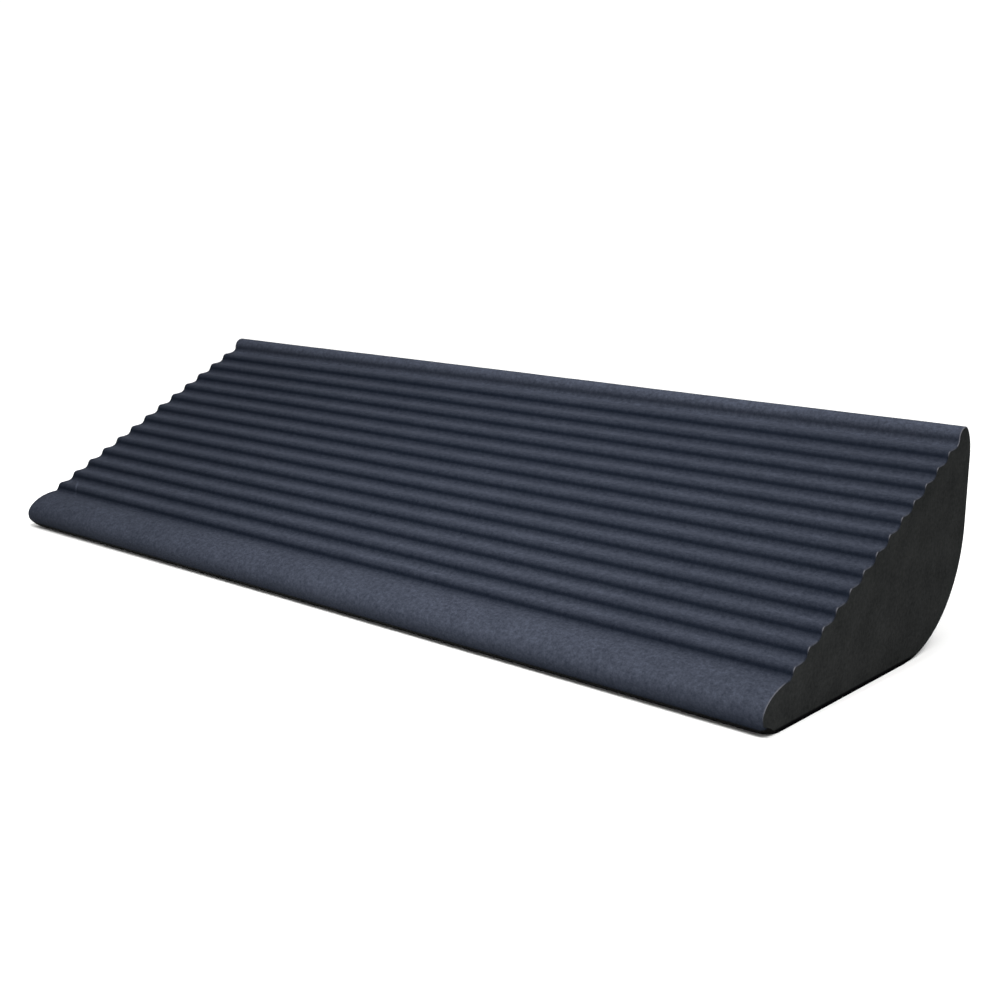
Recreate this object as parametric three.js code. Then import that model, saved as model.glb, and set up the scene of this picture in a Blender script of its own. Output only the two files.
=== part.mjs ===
// Slant board: a firm closed-cell foam wedge that tilts the feet for calf stretches and raised-heel squats.
//
// It is a bonded stack with no moving parts. Three pieces share one cross-section in the Y-Z plane, and each
// is that section's own slice, carried straight along X from one cut end face to the other:
//   foam_core          the wedge itself, bare at both end faces
//   ribbed_cover_skin  the embossed skin, from under the nose, over the ribs and the ridge, and down the back
//   non_slip_base      the rubber sheet on the flat underside
//
// Millimetres, +Z up. The origin is on the floor in the middle of the footprint: X runs along the board,
// -Y is the thin nose and +Y is the tall back.

import * as THREE from "three";

// Driving dimensions.
const LENGTH = 420; // between the end faces
const DEPTH = 145; // nose tip to back wall
const HEIGHT = 83.2; // floor to the top of the ridge
const SKIN_THICKNESS = 0.6;
const BASE_THICKNESS = 1;

// The ribbed slope: a wave laid along a straight line of groove bottoms.
const SLOPE_DEGREES = 27.45;
const RIB_COUNT = 13;
const RIB_PITCH = 10.05; // along the slope
const RIB_HEIGHT = 1.9; // groove bottom to rib top, square to the slope
const RIB_SKEW = 0.34; // leans each rib towards the nose: a steep riser, then a long, nearly level tread
const FIRST_GROOVE = { y: 16.4, z: 16.4 };

// The nose: a round underside, then a full curve from the tip up to the first groove.
const NOSE_TIP_HEIGHT = 7.2;
const NOSE_UNDERSIDE_RADIUS = 7.2;
const NOSE_FULLNESS = 1.83; // superellipse exponent: 2 is an ellipse, and less is leaner

// The ridge along the top, above the last groove.
const RIDGE_FRONT_Y = 133.9;
const RIDGE_FRONT_RADIUS = 4.5;
const RIDGE_TOP_END_Y = 138.7;
const BACK_SHOULDER_DROP = 12.8; // how far the shoulder falls before the back wall is upright

const BACK_HEEL_RADIUS = 44.4; // the large round between the back wall and the floor

// Points on each curved stretch.
const STEPS_PER_RIB = 10;
const NOSE_STEPS = 9;
const RIDGE_STEPS = 6;
const SHOULDER_STEPS = 8;
const HEEL_STEPS = 14;

const point = (y, z) => new THREE.Vector2(y, z);

// Values of a parameter from 0 to 1 in equal steps, without the 0, where the stretch before it ended.
const fractions = (steps) => Array.from({ length: steps }, (_, i) => (i + 1) / steps);

// A quarter of an ellipse about (cy, cz), which starts at the first angle and turns to the second, in degrees.
function ellipseArc(cy, cz, radiusY, radiusZ, from, to, steps) {
  return fractions(steps).map((t) => {
    const angle = THREE.MathUtils.degToRad(from + (to - from) * t);
    return point(cy + radiusY * Math.cos(angle), cz + radiusZ * Math.sin(angle));
  });
}

// From the underside up round the tip, and over the smooth panel to the first groove.
function noseOutline() {
  const underside = ellipseArc(
    NOSE_UNDERSIDE_RADIUS, NOSE_TIP_HEIGHT, NOSE_UNDERSIDE_RADIUS, NOSE_TIP_HEIGHT, -90, -180, NOSE_STEPS,
  );
  const rise = FIRST_GROOVE.z - NOSE_TIP_HEIGHT;
  const panel = fractions(NOSE_STEPS).map((t) => {
    const angle = (t * Math.PI) / 2;
    const run = 1 - Math.cos(angle) ** (2 / NOSE_FULLNESS);
    const lift = Math.sin(angle) ** (2 / NOSE_FULLNESS);
    return point(FIRST_GROOVE.y * run, NOSE_TIP_HEIGHT + rise * lift);
  });
  return [point(NOSE_UNDERSIDE_RADIUS, 0), ...underside, ...panel];
}

// The point on the ribbed slope after a number of ribs, counted from the first groove.
function slopePoint(ribs) {
  const slope = THREE.MathUtils.degToRad(SLOPE_DEGREES);
  const phase = 2 * Math.PI * ribs;
  const skewed = phase + RIB_SKEW * (1 - Math.cos(phase));
  const along = ribs * RIB_PITCH;
  const lift = (RIB_HEIGHT / 2) * (1 - Math.cos(skewed));
  return point(
    FIRST_GROOVE.y + along * Math.cos(slope) - lift * Math.sin(slope),
    FIRST_GROOVE.z + along * Math.sin(slope) + lift * Math.cos(slope),
  );
}

function ribsOutline() {
  return fractions(RIB_COUNT * STEPS_PER_RIB).map((t) => slopePoint(t * RIB_COUNT));
}

// From the last groove up the front of the ridge, over its flat top and down the back shoulder.
function ridgeOutline() {
  const start = slopePoint(RIB_COUNT);
  const slope = THREE.MathUtils.degToRad(SLOPE_DEGREES);
  const corner = point(RIDGE_FRONT_Y, start.y + (RIDGE_FRONT_Y - start.x) * Math.tan(slope));
  const arcStart = point(RIDGE_FRONT_Y, HEIGHT - RIDGE_FRONT_RADIUS);
  const riser = new THREE.QuadraticBezierCurve(start, corner, arcStart);
  return [
    ...riser.getPoints(RIDGE_STEPS).slice(1),
    ...ellipseArc(
      RIDGE_FRONT_Y + RIDGE_FRONT_RADIUS, HEIGHT - RIDGE_FRONT_RADIUS,
      RIDGE_FRONT_RADIUS, RIDGE_FRONT_RADIUS, 180, 90, RIDGE_STEPS,
    ),
    point(RIDGE_TOP_END_Y, HEIGHT),
    ...ellipseArc(
      RIDGE_TOP_END_Y, HEIGHT - BACK_SHOULDER_DROP,
      DEPTH - RIDGE_TOP_END_Y, BACK_SHOULDER_DROP, 90, 0, SHOULDER_STEPS,
    ),
  ];
}

// Down the upright back wall and round the heel to the flat underside.
function backOutline() {
  return [
    point(DEPTH, BACK_HEEL_RADIUS),
    ...ellipseArc(
      DEPTH - BACK_HEEL_RADIUS, BACK_HEEL_RADIUS, BACK_HEEL_RADIUS, BACK_HEEL_RADIUS, 0, -90, HEEL_STEPS,
    ),
  ];
}

// The same open outline moved inwards, to its right, by a distance. Each point moves along the bisector of
// its two edges, and an end point moves straight up off the floor.
function offsetInwards(outline, distance) {
  const edgeNormal = (a, b) => point(b.y - a.y, a.x - b.x).normalize();
  return outline.map((p, i) => {
    if (i === 0 || i === outline.length - 1) return point(p.x, p.y + distance);
    const before = edgeNormal(outline[i - 1], p);
    const after = edgeNormal(p, outline[i + 1]);
    const bisector = before.clone().add(after).normalize();
    return p.clone().addScaledVector(bisector, distance / bisector.dot(before));
  });
}

// A closed section carried along X over the whole length.
function alongX(section) {
  const geometry = new THREE.ExtrudeGeometry(new THREE.Shape(section), {
    depth: LENGTH,
    steps: 1,
    bevelEnabled: false,
  });
  const sectionToYZ = new THREE.Matrix4().makeBasis(
    new THREE.Vector3(0, 1, 0),
    new THREE.Vector3(0, 0, 1),
    new THREE.Vector3(1, 0, 0),
  );
  return geometry.applyMatrix4(sectionToYZ);
}

function piece(name, section, look) {
  const mesh = new THREE.Mesh(alongX(section), new THREE.MeshStandardMaterial({ metalness: 0, ...look }));
  mesh.name = name;
  return mesh;
}

const outside = [...noseOutline(), ...ribsOutline(), ...ridgeOutline(), ...backOutline()];
const inside = offsetInwards(outside, SKIN_THICKNESS);

// The base sheet lies flush with the skin below, between its two cut edges, and is let into the core above.
const baseStart = outside[0].x;
const baseEnd = outside[outside.length - 1].x;
const baseTop = [point(baseEnd, BASE_THICKNESS), point(baseStart, BASE_THICKNESS)];

const board = new THREE.Group();
board.position.set(-LENGTH / 2, -DEPTH / 2, 0);
board.add(
  piece("foam_core", [...inside, ...baseTop], { color: 0x2b2c2c, roughness: 0.92 }),
  piece("ribbed_cover_skin", [...outside, ...inside.toReversed()], { color: 0x3d4350, roughness: 0.8 }),
  piece("non_slip_base", [point(baseStart, 0), point(baseEnd, 0), ...baseTop], { color: 0x101113, roughness: 0.85 }),
);

const slantBoard = new THREE.Group();
slantBoard.add(board);

export default slantBoard;
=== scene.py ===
"""The looks of the slant board: a foam wedge with an embossed, ribbed cover skin and a rubber base sheet.

All three pieces share one cross-section in the Y-Z plane. Its outline is drawn here finely, in millimetres
from the nose tip, and carried along X as the meshes that stand for the three CAD nodes. Lengths that the
frame holds are read from it; the shape of the nose, the ribs and the ridge is named below.
"""

import math

import bmesh
import bpy
import numpy as np
from mathutils import Matrix, Vector, noise


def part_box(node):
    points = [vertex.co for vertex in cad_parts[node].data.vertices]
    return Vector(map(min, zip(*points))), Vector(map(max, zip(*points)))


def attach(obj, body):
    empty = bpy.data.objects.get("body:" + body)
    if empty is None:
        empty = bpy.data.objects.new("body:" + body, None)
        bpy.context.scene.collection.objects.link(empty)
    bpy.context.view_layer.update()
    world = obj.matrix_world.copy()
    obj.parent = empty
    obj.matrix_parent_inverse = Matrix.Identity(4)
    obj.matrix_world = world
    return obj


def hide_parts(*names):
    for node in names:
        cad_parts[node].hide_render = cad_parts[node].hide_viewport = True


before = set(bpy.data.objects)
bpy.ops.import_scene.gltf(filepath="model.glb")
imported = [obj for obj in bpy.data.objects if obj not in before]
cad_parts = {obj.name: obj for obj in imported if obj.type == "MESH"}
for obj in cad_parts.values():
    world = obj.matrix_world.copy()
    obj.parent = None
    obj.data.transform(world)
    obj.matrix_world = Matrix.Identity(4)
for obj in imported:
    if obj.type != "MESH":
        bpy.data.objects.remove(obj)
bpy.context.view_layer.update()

MM = 0.001

# ---------------------------------------------------------------------------------------------- sizes, in mm

SKIN_LOW, SKIN_HIGH = (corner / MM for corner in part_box("ribbed_cover_skin"))
BASE_LOW, BASE_HIGH = (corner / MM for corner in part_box("non_slip_base"))
CORE_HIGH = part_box("foam_core")[1] / MM

HALF_LENGTH = SKIN_HIGH.x
DEPTH = SKIN_HIGH.y - SKIN_LOW.y
HEIGHT = SKIN_HIGH.z
SKIN_THICKNESS = SKIN_HIGH.z - CORE_HIGH.z
BASE_THICKNESS = BASE_HIGH.z
BASE_START = BASE_LOW.y - SKIN_LOW.y
BASE_END = BASE_HIGH.y - SKIN_LOW.y
BACK_HEEL_RADIUS = DEPTH - BASE_END

SLOPE = math.radians(27.45)
RIB_COUNT = 13
RIB_PITCH = 10.05
RIB_HEIGHT = 1.9
RIB_SKEW = 0.34
FIRST_GROOVE = (16.4, 16.4)
NOSE_TIP_HEIGHT = 7.2
NOSE_FULLNESS = 1.83
RIDGE_FRONT_Y = 133.9
RIDGE_FRONT_RADIUS = 4.5
RIDGE_TOP_END_Y = 138.7
BACK_SHOULDER_DROP = 12.8

EDGE_ROUND = 0.3  # of the skin's outer edge at each end face
NOSE_CORNER_ROUND = 4.5  # of the corners under the nose, seen from above, in all three pieces
NOSE_CORNER_FADE = (0.5, 5.0)  # the heights between which that larger round fades into the small one
END_ZONE = 5.0  # the length at each end that holds these rounds
LEAST_RIM = 0.1  # what stays of the skin's thickness where its outer side is drawn in

QUARTER_ELLIPSE = 1.1  # its length, as a multiple of the hypotenuse of its radii
NOSE_FRONT_POINTS = 40  # from the nose tip to the first groove
RISER_STEPS = 8  # from the last groove up to the ridge's front round
OUTLINE_STEP = 0.6  # between points of the outline on the nose, the ribs and the ridge
BACK_STEP = 2.0  # between points of the outline on the back and the heel
LENGTH_STEP = 2.0  # between stations along X
END_FACE_CELL = 2.5  # of the grid that an end face is cut into

NICK_X = 17.5 - HALF_LENGTH  # a small nick across the lowest rib, near the left end
NICK_DEPTH = 0.25
NICK_WIDTH = 0.5
NICK_STEP = 0.7 * NICK_WIDTH  # between stations along X beside it
NICK_LEAN = 1.2  # towards the left end, for each millimetre away from the nose
NICK_CENTRE = 0.42  # up the slope, counted in ribs from the first groove
NICK_REACH = 0.32
NICK_PALENESS = 1.6

BROAD_WAVE = 0.1  # how far the moulded skin stands off its true shape, in broad waves
WAVE_ALONG, WAVE_ACROSS = 90, 40  # the size of a wave along the board and across it
SMALL_DENT = 0.06
DENT_ALONG, DENT_ACROSS = 17, 9
DENT_SHIFT = 40  # keeps the dents from following the waves
UNEVEN_FROM = (1.0, 4.0)  # the heights between which this unevenness sets in
CUT_WAVE = 0.12  # how far the knife left the end faces uneven
CUT_WAVE_LENGTH = 7.0

GRIP_CELL = 4.0  # of the waffle grip pattern under the base sheet
GRIP_DEPTH = 0.3
GRIP_MARGIN = 2.0

# ----------------------------------------------------------------------------------------- the cross-section


def ellipse_arc(centre, radii, start, end, step):
    """Points on an upright ellipse from one angle to another, in degrees, without the first."""
    count = max(3, round(math.hypot(*radii) * QUARTER_ELLIPSE / step))
    angles = np.radians(np.linspace(start, end, count + 1)[1:])
    return np.column_stack([centre[0] + radii[0] * np.cos(angles), centre[1] + radii[1] * np.sin(angles)])


def nose_outline():
    """From the front of the base, round under the nose and up its full front to the first groove."""
    radii = (BASE_START, NOSE_TIP_HEIGHT)
    underside = ellipse_arc(radii, radii, -90, -180, OUTLINE_STEP)
    turn = np.linspace(0, math.pi / 2, NOSE_FRONT_POINTS)[1:]
    run = 1 - np.cos(turn) ** (2 / NOSE_FULLNESS)
    lift = np.sin(turn) ** (2 / NOSE_FULLNESS)
    rise = FIRST_GROOVE[1] - NOSE_TIP_HEIGHT
    front = np.column_stack([FIRST_GROOVE[0] * run, NOSE_TIP_HEIGHT + rise * lift])
    return np.vstack([[BASE_START, 0], underside, front])


def slope_points(ribs):
    """Points of the ribbed slope after these numbers of ribs, counted from the first groove."""
    phase = 2 * math.pi * ribs
    skewed = phase + RIB_SKEW * (1 - np.cos(phase))
    lift = RIB_HEIGHT / 2 * (1 - np.cos(skewed))
    along = ribs * RIB_PITCH
    y = FIRST_GROOVE[0] + along * math.cos(SLOPE) - lift * math.sin(SLOPE)
    z = FIRST_GROOVE[1] + along * math.sin(SLOPE) + lift * math.cos(SLOPE)
    return np.column_stack([y, z])


def ribs_outline():
    steps = RIB_COUNT * round(RIB_PITCH / OUTLINE_STEP)
    return slope_points(np.linspace(0, RIB_COUNT, steps + 1)[1:])


def ridge_outline():
    """The riser at the end of the ribs, the ridge's round front, its flat top and its long back shoulder."""
    start = slope_points(np.array([float(RIB_COUNT)]))[0]
    corner = np.array([RIDGE_FRONT_Y, start[1] + (RIDGE_FRONT_Y - start[0]) * math.tan(SLOPE)])
    end = np.array([RIDGE_FRONT_Y, HEIGHT - RIDGE_FRONT_RADIUS])
    t = np.linspace(0, 1, RISER_STEPS + 1)[1:, None]
    riser = (1 - t) ** 2 * start + 2 * t * (1 - t) * corner + t**2 * end
    front_centre = (RIDGE_FRONT_Y + RIDGE_FRONT_RADIUS, HEIGHT - RIDGE_FRONT_RADIUS)
    front = ellipse_arc(front_centre, (RIDGE_FRONT_RADIUS, RIDGE_FRONT_RADIUS), 180, 90, OUTLINE_STEP)
    shoulder_centre = (RIDGE_TOP_END_Y, HEIGHT - BACK_SHOULDER_DROP)
    shoulder_radii = (DEPTH - RIDGE_TOP_END_Y, BACK_SHOULDER_DROP)
    shoulder = ellipse_arc(shoulder_centre, shoulder_radii, 90, 0, OUTLINE_STEP)
    return np.vstack([riser, front, [[RIDGE_TOP_END_Y, HEIGHT]], shoulder])


def back_outline():
    """The upright wall and the big heel round down to the end of the base."""
    wall_top = HEIGHT - BACK_SHOULDER_DROP
    steps = round((wall_top - BACK_HEEL_RADIUS) / BACK_STEP)
    heights = np.linspace(wall_top, BACK_HEEL_RADIUS, steps + 1)[1:]
    wall = np.column_stack([np.full(len(heights), DEPTH), heights])
    radii = (BACK_HEEL_RADIUS, BACK_HEEL_RADIUS)
    return np.vstack([wall, ellipse_arc((BASE_END, BACK_HEEL_RADIUS), radii, 0, -90, BACK_STEP)])


def outward_normals(outline):
    """Unit normals of an open outline whose inside is on its right."""
    along = np.gradient(outline, axis=0)
    normals = np.column_stack([-along[:, 1], along[:, 0]])
    normals[0] = normals[-1] = (0, -1)
    return normals / np.linalg.norm(normals, axis=1)[:, None]


def smoothstep(value, low, high):
    t = np.clip((value - low) / (high - low), 0, 1)
    return t * t * (3 - 2 * t)


def hump(value, centre, width):
    return np.exp(-(((value - centre) / width) ** 2))


def ribs_up_slope(points):
    """How many ribs up the slope points lie, counted from the first groove."""
    return (points - FIRST_GROOVE) @ [math.cos(SLOPE), math.sin(SLOPE)] / RIB_PITCH


# How light the skin is along the outline, as painted light and shade: 1 on a rib's tread. The grooves are
# darker (painted shade), and the ridge and its front edge are lighter (painted light, with a painted
# highlight on the edge). A pair is where a change starts and where it is complete.

NOSE_TONE = 0.99
NOSE_LIT = (3.0, 11.3)  # heights between which the painted shade near the floor gives way to full light
NOSE_LIT_POWER = 0.58
NOSE_SHADE_REACH = 0.9  # of the shade before the first groove, in ribs
# Painted light: the ridge a little lighter than a tread, more so at its painted highlight.
RIDGE_TONE = 1.08
RIDGE_HIGHLIGHT_TONE = 1.38
RIDGE_HIGHLIGHT_TURN = 0.7  # where the painted highlight lies on the ridge's front round, as a part of its radius
RIDGE_HIGHLIGHT_WIDTH = 1.8
RIDGE_RISER_SHADE = 0.54
RIDGE_RISER_WIDTH = 1.75
LAST_RIB_FADE = (RIB_COUNT - 0.65, RIB_COUNT - 0.2)  # in ribs
BACK_TONE = 0.85
BACK_FADE = (RIDGE_TOP_END_Y, RIDGE_TOP_END_Y + 1.5)
HEEL_LIT = (0.5, 6.0)  # heights between which the painted shade near the floor gives way to full light
FIRST_GROOVE_TONE = 0.66
DARKEST_PHASE = 0.2  # of a rib, from groove to groove: the foot of its riser, where the painted shade is deepest
INNER_SIDE_TONE = 0.3  # a factor, for the side that lies on the core
RISER_SHADE = 0.62
RISER_SHADE_POWER = 1.12
GROOVE_LINE_SHADE = 0.27
GROOVE_LINE_WIDTH = 0.055  # of a rib


def nose_tone(points):
    dark, lit = NOSE_LIT
    # Painted shade: darker towards the floor, and towards the first groove.
    off_floor = np.clip((points[:, 1] - dark) / (lit - dark), 0, 1) ** NOSE_LIT_POWER
    near_ribs = np.clip(ribs_up_slope(points) + NOSE_SHADE_REACH, 0, NOSE_SHADE_REACH) / NOSE_SHADE_REACH
    return NOSE_TONE * off_floor - (NOSE_TONE - FIRST_GROOVE_TONE) * near_ribs**3


def ribs_tone(points):
    ribs = ribs_up_slope(points)
    # Painted shade up each riser, with a darker painted line at its foot; the last rib fades into the
    # ridge's painted light.
    broad = (0.5 + 0.5 * np.cos(2 * math.pi * (ribs - DARKEST_PHASE))) ** RISER_SHADE_POWER
    off_line = (ribs - DARKEST_PHASE + 0.5) % 1 - 0.5
    tone = 1 - RISER_SHADE * broad - GROOVE_LINE_SHADE * hump(off_line, 0, GROOVE_LINE_WIDTH)
    return tone + (RIDGE_TONE - tone) * smoothstep(ribs, *LAST_RIB_FADE)


def ridge_tone(points):
    # A painted highlight along the ridge's front edge, painted shade on the riser below it.
    edge_y = RIDGE_FRONT_Y + RIDGE_HIGHLIGHT_TURN * RIDGE_FRONT_RADIUS
    edge = hump(points[:, 0], edge_y, RIDGE_HIGHLIGHT_WIDTH)
    riser = hump(points[:, 1], HEIGHT - RIDGE_FRONT_RADIUS, RIDGE_RISER_WIDTH)
    tone = (RIDGE_TONE + (RIDGE_HIGHLIGHT_TONE - RIDGE_TONE) * edge) * (1 - RIDGE_RISER_SHADE * riser)
    return tone + (BACK_TONE - tone) * smoothstep(points[:, 0], *BACK_FADE)


def back_tone(points):
    # Painted shade, darker towards the floor.
    return BACK_TONE * smoothstep(points[:, 1], *HEEL_LIT)


# How much of the painted highlight on the rounded edge shows along the outline at an end face.

NOSE_EDGE = 0.6
NOSE_EDGE_HEIGHTS = (6.0, 11.0)
NOSE_EDGE_GAP = (0.1, 0.6)  # before the first groove, in ribs
TREAD_EDGE = 0.2
TREAD_START = (0.45, 0.6)  # parts of a rib
TREAD_END = (0.8, 0.95)
HOOK_PLACE = 0.35  # the hook of painted highlight on each rib's riser
HOOK_WIDTH = 0.09
RIDGE_EDGE = 0.8
RIDGE_EDGE_END = (RIDGE_TOP_END_Y - 2, RIDGE_TOP_END_Y + 1)
BACK_EDGE = 0.25
BACK_EDGE_HEIGHTS = (3.0, 10.0)


def nose_edge(points):
    before_ribs = smoothstep(-ribs_up_slope(points), *NOSE_EDGE_GAP)
    return NOSE_EDGE * smoothstep(points[:, 1], *NOSE_EDGE_HEIGHTS) * before_ribs


def ribs_edge(points):
    part = ribs_up_slope(points) % 1
    tread = smoothstep(part, *TREAD_START) * (1 - smoothstep(part, *TREAD_END))
    return TREAD_EDGE * tread + hump(part, HOOK_PLACE, HOOK_WIDTH)


def ridge_edge(points):
    return RIDGE_EDGE + (BACK_EDGE - RIDGE_EDGE) * smoothstep(points[:, 0], *RIDGE_EDGE_END)


def back_edge(points):
    return BACK_EDGE * smoothstep(points[:, 1], *BACK_EDGE_HEIGHTS)


STRETCHES = (
    (nose_outline(), nose_tone, nose_edge),
    (ribs_outline(), ribs_tone, ribs_edge),
    (ridge_outline(), ridge_tone, ridge_edge),
    (back_outline(), back_tone, back_edge),
)
OUTLINE = np.vstack([points for points, _, _ in STRETCHES])
# Painted light and shade along the outline, and the painted highlight on the rounded end edges.
LIGHT_AND_SHADE = np.concatenate([tone(points) for points, tone, _ in STRETCHES])
# The painted highlight on the rounded end edges.
EDGE_HIGHLIGHT = np.concatenate([edge(points) for points, _, edge in STRETCHES])
NORMALS = outward_normals(OUTLINE)

# How an end ring is drawn in: with the large round and straight back under the nose, and elsewhere with the
# small round and square to the outline.
UNDER_NOSE = (OUTLINE[:, 0] < DEPTH / 2) * (1 - smoothstep(OUTLINE[:, 1], *NOSE_CORNER_FADE))
ROUNDS = EDGE_ROUND + (NOSE_CORNER_ROUND - EDGE_ROUND) * UNDER_NOSE
INWARD = UNDER_NOSE[:, None] * [1, 0] - (1 - UNDER_NOSE)[:, None] * NORMALS

# ---------------------------------------------------------------------------------------------- mesh helpers


def to_frame(x, section):
    """Points of the section at one or more x, in millimetres from the nose tip, as points of the frame."""
    x = np.broadcast_to(x, len(section))
    return np.column_stack([x, section[:, 0] + SKIN_LOW.y, section[:, 1]]) * MM


def mesh_object(name, points, faces):
    mesh = bpy.data.meshes.new(name)
    mesh.from_pydata([tuple(p) for p in points], [], faces)
    mesh.validate()
    mesh.update()
    return linked(name, mesh)


def linked(name, mesh):
    piece = bpy.data.objects.new(name, mesh)
    bpy.context.scene.collection.objects.link(piece)
    return piece


def point_attribute(piece, name, values):
    attribute = piece.data.attributes.new(name, "FLOAT", "POINT")
    attribute.data.foreach_set("value", np.asarray(values, np.float32))


END_TURNS = np.radians([0.0, 22.5, 45.0, 67.5, 90.0])


def end_ring(side, turn):
    """The x of a ring of the outline at this turn round the end edge, and how far it is drawn in."""
    return side * (HALF_LENGTH - ROUNDS * (1 - math.sin(turn))), ROUNDS * (1 - math.cos(turn))


def inner_outline(inset):
    """The outline of the skin's inner side, where the outer side is drawn in by this much."""
    deeper = np.maximum(inset + LEAST_RIM - SKIN_THICKNESS, 0)
    return OUTLINE - NORMALS * SKIN_THICKNESS + INWARD * deeper[:, None]


def inner_turns():
    """The rings of the surface between skin and core, from the left end to the right."""
    left = [(-1, turn) for turn in reversed(END_TURNS)]
    right = [(1, turn) for turn in END_TURNS]
    return left + right


# -------------------------------------------------------------------------------------------- the cover skin


def unevenness(x, y, z):
    """How far the moulded surface stands off its true shape: broad waves and small dents."""
    waves = noise.noise(Vector((x / WAVE_ALONG, y / WAVE_ACROSS, z / WAVE_ACROSS)))
    dents = noise.noise(Vector((x / DENT_ALONG + DENT_SHIFT, y / DENT_ACROSS, z / DENT_ACROSS)))
    return BROAD_WAVE * waves + SMALL_DENT * dents


def middle_stations():
    """The x of each ring between the end rounds: evenly spread, and close together along the nick."""
    flat = HALF_LENGTH - END_ZONE
    even = np.linspace(-flat, flat, round(2 * flat / LENGTH_STEP) + 1)
    along_nick = np.arange(NICK_X - RIB_PITCH, NICK_X + 4 * NICK_WIDTH, NICK_STEP)
    return np.unique(np.round(np.concatenate([even, along_nick]), 2))


def skin_rings():
    """The rings of the outer surface from left to right: x, inset and how much of the painted edge highlight
    it shows.
    """
    middle = [(np.full(len(OUTLINE), x), 0 * ROUNDS, 0.0) for x in middle_stations()]
    ends = [(turn, math.sin(turn) ** 2) for turn in END_TURNS]
    left = [(*end_ring(-1, turn), pale) for turn, pale in reversed(ends)]
    right = [(*end_ring(1, turn), pale) for turn, pale in ends]
    return left + middle + right


def sheet_faces(count, outer_rings, rings):
    """The faces of a closed sheet made of rings of this many points, the outer side's rings first."""
    loop = [*reversed(range(outer_rings)), *range(outer_rings, rings)]
    faces = []
    for a, b in zip(loop, loop[1:] + loop[:1]):
        a_row, b_row = a * count, b * count
        faces += [(a_row + i, a_row + i + 1, b_row + i + 1, b_row + i) for i in range(count - 1)]
    faces.append([ring * count for ring in loop])
    faces.append([ring * count + count - 1 for ring in reversed(loop)])
    return faces


def build_skin():
    """One closed sheet: the outer surface in rings along X, the inner one, and the cut rim between them."""
    on_first_rib = hump(ribs_up_slope(OUTLINE), NICK_CENTRE, NICK_REACH)
    nick_line = NICK_X - NICK_LEAN * (OUTLINE[:, 0] - FIRST_GROOVE[0])
    moulded = smoothstep(OUTLINE[:, 1], *UNEVEN_FROM)
    outer = skin_rings()
    points, tones, pales = [], [], []
    for x, inset, pale in outer:
        nick = hump(x, nick_line, NICK_WIDTH) * on_first_rib
        uneven = np.array([unevenness(*place) for place in np.column_stack([x, OUTLINE])])
        lift = uneven * moulded - NICK_DEPTH * nick
        points.append(to_frame(x, OUTLINE + NORMALS * lift[:, None] + INWARD * inset[:, None]))
        # Painted light and shade, paler along the nick, and the painted highlight on the end rounds.
        tones.append(LIGHT_AND_SHADE * (1 + NICK_PALENESS * nick))
        pales.append(EDGE_HIGHLIGHT * pale)
    for side, turn in inner_turns():
        x, inset = end_ring(side, turn)
        points.append(to_frame(x, inner_outline(inset)))
        tones.append(LIGHT_AND_SHADE * INNER_SIDE_TONE)
        pales.append(EDGE_HIGHLIGHT * 0)

    faces = sheet_faces(len(OUTLINE), len(outer), len(points))
    skin = mesh_object("cover_skin_ribbed", np.vstack(points), faces)
    skin.data.shade_smooth()
    # The painted light and shade, and the painted edge highlight, that the skin's material reads.
    point_attribute(skin, "tone", np.concatenate(tones))
    point_attribute(skin, "edge_highlight", np.concatenate(pales))
    return skin


# ------------------------------------------------------------------------------------- the core and the base


def build_core():
    """The foam under the skin, with end faces that the cutting left a little uneven."""
    bm = bmesh.new()
    rings = []
    for side, turn in inner_turns():
        x, inset = end_ring(side, turn)
        section = np.maximum(inner_outline(inset), [0, BASE_THICKNESS])
        rings.append([bm.verts.new(p) for p in to_frame(x, section)])
    for a, b in zip(rings, rings[1:]):
        for i in range(len(a)):
            bm.faces.new((a[i - 1], a[i], b[i], b[i - 1]))
    caps = [bm.faces.new(rings[0]), bm.faces.new(rings[-1][::-1])]
    bmesh.ops.remove_doubles(bm, verts=bm.verts, dist=1e-7)
    bmesh.ops.recalc_face_normals(bm, faces=bm.faces)
    for cap in caps:
        roughen_cut(bm, cap)
    mesh = bpy.data.meshes.new("foam_core_wedge")
    bm.to_mesh(mesh)
    bm.free()
    return linked("foam_core_wedge", mesh)


def roughen_cut(bm, cap):
    """Cuts an end face into a grid and moves its inner points a little in or out."""
    rim = set(cap.verts)
    faces = [cap]
    for axis, size in ((Vector((0, 1, 0)), DEPTH), (Vector((0, 0, 1)), HEIGHT)):
        for place in np.arange(END_FACE_CELL, size, END_FACE_CELL):
            start = Vector((0, SKIN_LOW.y, 0)) * MM
            parts = set(faces) | {e for f in faces for e in f.edges} | {v for f in faces for v in f.verts}
            plane = start + axis * place * MM
            cut = bmesh.ops.bisect_plane(bm, geom=list(parts), plane_co=plane, plane_no=axis)
            faces = [item for item in cut["geom"] if isinstance(item, bmesh.types.BMFace)]
    face_set = set(faces)
    for vert in {v for f in faces for v in f.verts} - rim:
        if all(f in face_set for f in vert.link_faces):
            vert.co.x += CUT_WAVE * MM * noise.noise(vert.co / (CUT_WAVE_LENGTH * MM))


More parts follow.
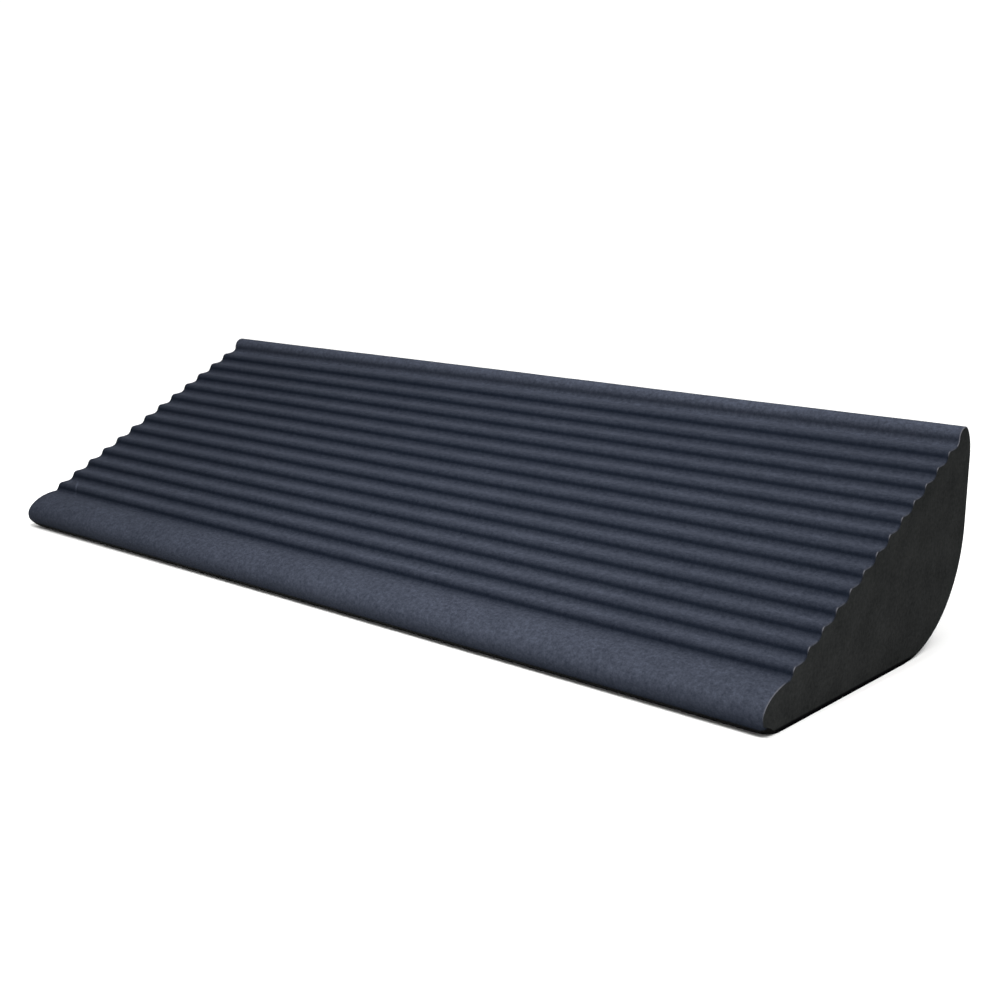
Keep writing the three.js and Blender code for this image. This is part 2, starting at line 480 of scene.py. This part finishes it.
def build_base():
    """A thin sheet whose underside has a shallow waffle grip inside a plain margin."""
    across = grip_lines(-HALF_LENGTH, HALF_LENGTH)
    deep = grip_lines(BASE_START, BASE_END)
    points, faces = [], []

    def add(x, y, z):
        x, y = inside_base_corner(x, y)
        points.append(to_frame(x, np.array([[y, z]]))[0])
        return len(points) - 1

    grid = [[add(x, y, 0) for y in deep] for x in across]
    for i in range(len(across) - 1):
        for j in range(len(deep) - 1):
            corners = (grid[i][j], grid[i][j + 1], grid[i + 1][j + 1], grid[i + 1][j])
            if 0 < i < len(across) - 2 and 0 < j < len(deep) - 2:
                pit = add((across[i] + across[i + 1]) / 2, (deep[j] + deep[j + 1]) / 2, GRIP_DEPTH)
                faces += [(corners[k], corners[(k + 1) % 4], pit) for k in range(4)]
            else:
                faces.append(corners)
    outer = [row[0] for row in grid] + grid[-1][1:] + [row[-1] for row in grid[-2::-1]] + grid[0][-2:0:-1]
    top = []
    for corner in outer:
        x, y, _ = points[corner]
        points.append((x, y, BASE_THICKNESS * MM))
        top.append(len(points) - 1)
    for k in range(len(outer)):
        faces.append((outer[k - 1], outer[k], top[k], top[k - 1]))
    faces.append(top)
    return mesh_object("base_sheet_non_slip", points, faces)


def inside_base_corner(x, y):
    """The same point, or the nearest one inside the rounds of the base sheet's corners under the nose."""
    outward = max(abs(x) - HALF_LENGTH + NOSE_CORNER_ROUND, 0)
    forward = max(BASE_START + NOSE_CORNER_ROUND - y, 0)
    excess = max(math.hypot(outward, forward) / NOSE_CORNER_ROUND, 1)
    return x - math.copysign(outward - outward / excess, x), y + forward - forward / excess


def grip_lines(low, high):
    """Where the grip's grid lines lie between two edges, with a plain margin at both."""
    inner_low, inner_high = low + GRIP_MARGIN, high - GRIP_MARGIN
    count = round((inner_high - inner_low) / GRIP_CELL)
    return [low, *np.linspace(inner_low, inner_high, count + 1), high]


# ------------------------------------------------------------------------------------------------- materials

NOISE_SPREAD = (0.3, 0.7)  # most of what a noise texture gives lies between these


class Nodes:
    """A short way to write a node tree: each call adds a node, sets its sockets and returns its output."""

    def __init__(self, tree):
        self.tree = tree
        tree.nodes.clear()

    def add(self, kind, output=0, settings=None, **sockets):
        node = self.tree.nodes.new(kind)
        for name, value in (settings or {}).items():
            setattr(node, name, value)
        for name, value in sockets.items():
            socket = self.socket(node, name)
            if isinstance(value, bpy.types.NodeSocket):
                self.tree.links.new(value, socket)
            else:
                socket.default_value = value
        return node.outputs[output]

    @staticmethod
    def socket(node, name):
        """A socket by its number, as in i2, or by its name with _ for each space."""
        if name[1:].isdigit():
            return node.inputs[int(name[1:])]
        return node.inputs[name.replace("_", " ")]

    def math(self, operation, a, b=0.0):
        return self.add("ShaderNodeMath", settings={"operation": operation}, i0=a, i1=b)

    def range(self, value, low, high, to_low=0.0, to_high=1.0):
        return self.add("ShaderNodeMapRange", i0=value, i1=low, i2=high, i3=to_low, i4=to_high)

    def mix(self, factor, a, b):
        return self.add("ShaderNodeMix", 2, {"data_type": "RGBA"}, i0=factor, i6=a, i7=b)

    def noise(self, place, scale, detail=2.0, roughness=0.5):
        return self.add("ShaderNodeTexNoise", Vector=place, Scale=scale, Detail=detail, Roughness=roughness)

    def spread(self, noise_value, to_low, to_high):
        """A noise's usual values, stretched to these two ends."""
        return self.range(noise_value, *NOISE_SPREAD, to_low, to_high)

    def cells(self, place, scale):
        settings = {"feature": "SMOOTH_F1"}
        return self.add("ShaderNodeTexVoronoi", 0, settings, Vector=place, Scale=scale, Smoothness=0.5)

    def attribute(self, name):
        return self.add("ShaderNodeAttribute", 2, {"attribute_name": name})

    def place(self):
        """Object coordinates, in metres."""
        return self.add("ShaderNodeTexCoord", 3)

    def ramp(self, factor, stops):
        """A colour that goes from stop to stop, each a place from 0 to 1 and a colour."""
        color = self.add("ShaderNodeValToRGB", Fac=factor)
        elements = color.node.color_ramp.elements
        while len(elements) < len(stops):
            elements.new(1.0)
        for element, (place, value) in zip(elements, stops):
            element.position = place
            element.color = (*value, 1)
        return color

    def bump(self, height, distance, strength):
        return self.add("ShaderNodeBump", Strength=strength, Distance=distance, Height=height)

    def surface(self, color, roughness, normal, specular):
        shader = self.add("ShaderNodeBsdfPrincipled", Base_Color=color, Roughness=roughness, Normal=normal)
        shader.node.inputs["Specular IOR Level"].default_value = specular
        output = self.tree.nodes.new("ShaderNodeOutputMaterial")
        self.tree.links.new(shader, output.inputs["Surface"])


def new_material(name):
    material = bpy.data.materials.new(name)
    material.use_nodes = True
    return material, Nodes(material.node_tree)


def scaled(color, factor):
    return tuple(channel * factor for channel in color)


# The skin's navy on a lit tread; a darker, bluer copy for the painted shade in the grooves and where it sits
# in the tone scale; the tone of the brightest painted light; the grey of the painted edge highlight.
TREAD_NAVY = (0.0214, 0.0246, 0.0343)
GROOVE_SHADE_NAVY = (0.0031, 0.0047, 0.0087)
GROOVE_SHADE_TONE = 0.16
TOP_TONE = 2.0
EDGE_HIGHLIGHT_GREY = (0.13, 0.13, 0.145)

CORE_DARK = (0.009, 0.0097, 0.0097)
CORE_PALE = (0.0198, 0.0206, 0.0204)
CORE_FIBRE_PART = 0.55  # how much of its tone is fine fibre, and not broad mottling
FOOT_SHADE = (0.002, 0.002, 0.0022)
FOOT_SHADE_TOP = BASE_THICKNESS + 0.2  # of the painted shade line along the foot of the core
FOOT_SHADE_FADE = 0.8

RUBBER_DARK = (0.0012, 0.0012, 0.0015)
RUBBER_PALE = (0.0022, 0.0022, 0.0026)


def skin_material():
    """Matt navy foam skin: a fine leathery grain, faint clouding, painted shade in the grooves, painted
    light on the ridge and a painted highlight along the end edges.
    """
    material, n = new_material("cover_skin_foam")
    place = n.place()
    grain = n.noise(place, scale=1500.0, roughness=0.6)
    speckle = n.noise(place, scale=620.0, detail=3.0, roughness=0.65)
    blotch = n.noise(place, scale=130.0)
    cloud = n.noise(place, scale=26.0)
    # Painted light and shade from the mesh, times the grain and clouding.
    tone = n.attribute("tone")
    for texture, reach in ((speckle, 0.3), (grain, 0.18), (blotch, 0.05), (cloud, 0.05)):
        tone = n.math("MULTIPLY", tone, n.spread(texture, 1 - reach, 1 + reach))
    # From black through the painted-shade navy of the grooves and the tread navy up to the brightest painted
    # light.
    stops = (
        (0.0, (0, 0, 0)),
        (GROOVE_SHADE_TONE / TOP_TONE, GROOVE_SHADE_NAVY),
        (1 / TOP_TONE, TREAD_NAVY),
        (1.0, scaled(TREAD_NAVY, TOP_TONE)),
    )
    navy = n.ramp(n.math("DIVIDE", tone, TOP_TONE), stops)
    # The painted highlight along the end edges.
    color = n.mix(n.attribute("edge_highlight"), navy, (*EDGE_HIGHLIGHT_GREY, 1))
    height = n.math("ADD", n.math("MULTIPLY", n.cells(place, scale=1300.0), 0.6), speckle)
    roughness = n.spread(speckle, 0.66, 0.8)
    n.surface(color, roughness, n.bump(height, distance=0.15 * MM, strength=0.7), specular=0.02)
    return material


def core_material():
    """Charcoal cut foam: faint mottling, tiny pores, and a painted shade line along its foot, just above the
    base sheet.
    """
    material, n = new_material("core_foam")
    place = n.place()
    mottle = n.noise(place, scale=90.0, detail=4.0, roughness=0.55)
    fibre = n.noise(place, scale=700.0, detail=3.0, roughness=0.6)
    tone = n.math("ADD", n.spread(mottle, 0, 1 - CORE_FIBRE_PART), n.spread(fibre, 0, CORE_FIBRE_PART))
    foam = n.mix(tone, (*CORE_DARK, 1), (*CORE_PALE, 1))
    height = n.add("ShaderNodeSeparateXYZ", 2, Vector=place)
    # Painted shade: darker along the foot of the core, just above the base sheet.
    above_foot_shade = n.range(height, FOOT_SHADE_TOP * MM, (FOOT_SHADE_TOP + FOOT_SHADE_FADE) * MM)
    color = n.mix(above_foot_shade, (*FOOT_SHADE, 1), foam)
    pores = n.math("ADD", n.cells(place, scale=2200.0), fibre)
    n.surface(color, 0.9, n.bump(pores, distance=0.1 * MM, strength=0.5), specular=0.0)
    return material


def base_material():
    """Black rubber with a fine pebbled grain."""
    material, n = new_material("base_rubber")
    place = n.place()
    tone = n.spread(n.noise(place, scale=120.0, detail=3.0), 0.0, 1.0)
    color = n.mix(tone, (*RUBBER_DARK, 1), (*RUBBER_PALE, 1))
    pebbles = n.cells(place, scale=900.0)
    n.surface(color, 0.8, n.bump(pebbles, distance=0.2 * MM, strength=0.6), specular=0.0)
    return material


def floor_material():
    """Plain matt off-white, with no grain."""
    material, n = new_material("studio_floor")
    shader = n.add("ShaderNodeBsdfDiffuse", Color=(*FLOOR_WHITE, 1))
    output = n.tree.nodes.new("ShaderNodeOutputMaterial")
    n.tree.links.new(shader, output.inputs["Surface"])
    return material


# ---------------------------------------------------------------------------------------------------- studio

FLOOR_WHITE = (0.95, 0.95, 0.943)
FLOOR_RADIUS = 18.0  # in metres, as are the places of the softbox and the camera

HORIZON_GLOW = 1.05
SKY_GLOW = 0.575
SKY_WHITE = (1, 1, 0.992)
HORIZON_BAND = (0.12, 0.3)  # sines of the two angles up between which the glow falls off

OVERHEAD_STRENGTH = 2.16
OVERHEAD_FROM = (0.4, 0.21, 1.0)  # only its direction counts
OVERHEAD_SPREAD = math.radians(45)
SOFTBOX_WATTS = 3.2
SOFTBOX_PLACE = (0.09, -0.22, 0.35)
SOFTBOX_TARGET = (0.06, 0, 0.03)
SOFTBOX_SIZE = 0.22

CAMERA_PLACE = (0.42927, -0.45304, 0.17529)
CAMERA_YAW, CAMERA_PITCH, CAMERA_ROLL = (math.radians(a) for a in (-40.823, -12.744, 0.361))
CAMERA_LENS = 52.456  # in mm, as is the width of its sensor
CAMERA_SENSOR = 36.0


def build_floor():
    bm = bmesh.new()
    bmesh.ops.create_circle(bm, cap_ends=True, segments=96, radius=FLOOR_RADIUS)
    mesh = bpy.data.meshes.new("studio_floor")
    bm.to_mesh(mesh)
    bm.free()
    floor = linked("studio_floor", mesh)
    floor.data.materials.append(floor_material())


def build_world():
    """A soft even sky with a paler band round the horizon."""
    world = bpy.data.worlds.new("studio")
    world.use_nodes = True
    n = Nodes(world.node_tree)
    rise = n.add("ShaderNodeSeparateXYZ", 2, Vector=n.add("ShaderNodeTexCoord", 0))
    strength = n.range(rise, *HORIZON_BAND, HORIZON_GLOW, SKY_GLOW)
    background = n.add("ShaderNodeBackground", Color=(*SKY_WHITE, 1), Strength=strength)
    output = n.tree.nodes.new("ShaderNodeOutputWorld")
    n.tree.links.new(background, output.inputs["Surface"])
    bpy.context.scene.world = world


def build_light(name, kind, energy, place, target, **settings):
    """A light at a place, turned towards a target, that the camera itself doesn't see."""
    data = bpy.data.lights.new(name, kind)
    data.energy = energy
    for setting, value in settings.items():
        setattr(data, setting, value)
    light = bpy.data.objects.new(name, data)
    bpy.context.scene.collection.objects.link(light)
    light.location = place
    light.rotation_mode = "QUATERNION"
    light.rotation_quaternion = (Vector(place) - Vector(target)).to_track_quat("Z", "Y")
    light.visible_camera = False


def build_lights():
    """A broad light overhead, from the right and a little behind, and a near softbox over the front."""
    build_light("overhead_light", "SUN", OVERHEAD_STRENGTH, OVERHEAD_FROM, (0, 0, 0), angle=OVERHEAD_SPREAD)
    build_light("front_softbox", "AREA", SOFTBOX_WATTS, SOFTBOX_PLACE, SOFTBOX_TARGET, size=SOFTBOX_SIZE)


def build_camera():
    data = bpy.data.cameras.new("camera")
    data.lens = CAMERA_LENS
    data.sensor_width = CAMERA_SENSOR
    data.clip_start, data.clip_end = 0.01, 60.0
    camera = bpy.data.objects.new("camera", data)
    bpy.context.scene.collection.objects.link(camera)
    aim = Matrix.Rotation(-CAMERA_YAW, 4, "Z") @ Matrix.Rotation(math.pi / 2 + CAMERA_PITCH, 4, "X")
    roll = Matrix.Rotation(CAMERA_ROLL, 4, "Z")
    camera.matrix_world = Matrix.Translation(Vector(CAMERA_PLACE)) @ aim @ roll
    bpy.context.scene.camera = camera


def place_piece(piece, node, material):
    """Gives a piece its material, and lets it ride the board in place of its CAD node."""
    piece.data.materials.append(material)
    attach(piece, "root")
    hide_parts(node)
    return piece


build_camera()
build_floor()
build_world()
build_lights()
bpy.context.scene.view_settings.view_transform = "Standard"

skin = place_piece(build_skin(), "ribbed_cover_skin", skin_material())
core = place_piece(build_core(), "foam_core", core_material())
place_piece(build_base(), "non_slip_base", base_material())
